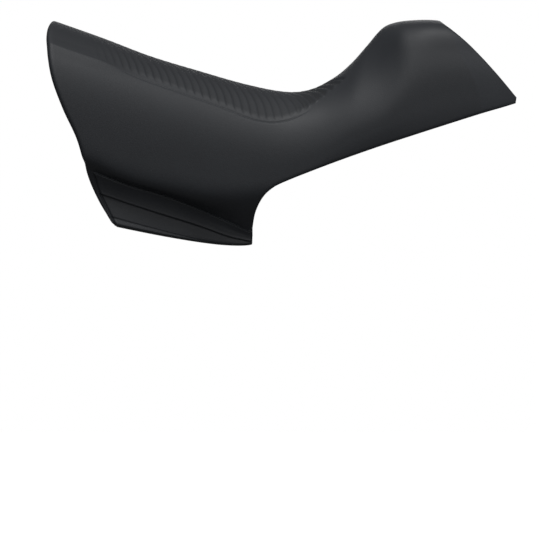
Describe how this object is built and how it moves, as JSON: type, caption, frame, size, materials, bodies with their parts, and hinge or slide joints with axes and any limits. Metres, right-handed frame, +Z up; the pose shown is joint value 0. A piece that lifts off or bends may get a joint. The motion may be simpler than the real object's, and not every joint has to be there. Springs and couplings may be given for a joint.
{
  "type": "brake lever hood",
  "caption": "Moulded rubber hood for a road bicycle brake lever: a hand-shaped tube with a raised horn, an open nose and underside, and a panelled foot.",
  "frame": {"origin": "middle of the mouth, where the lever body under the hood meets the handlebar", "axes": "+X from the handlebar end to the nose, +Z up, +Y to the bicycle's stem side, so -Y is the outer side"},
  "size_m": [0.1267, 0.0376, 0.061],
  "materials": {
    "hood_rubber": "fine matt grain, darker on the ribbed grip zone"
  },
  "bodies": {
    "root": {"lever_hood": "hood_rubber"}
  },
  "joints": []
}
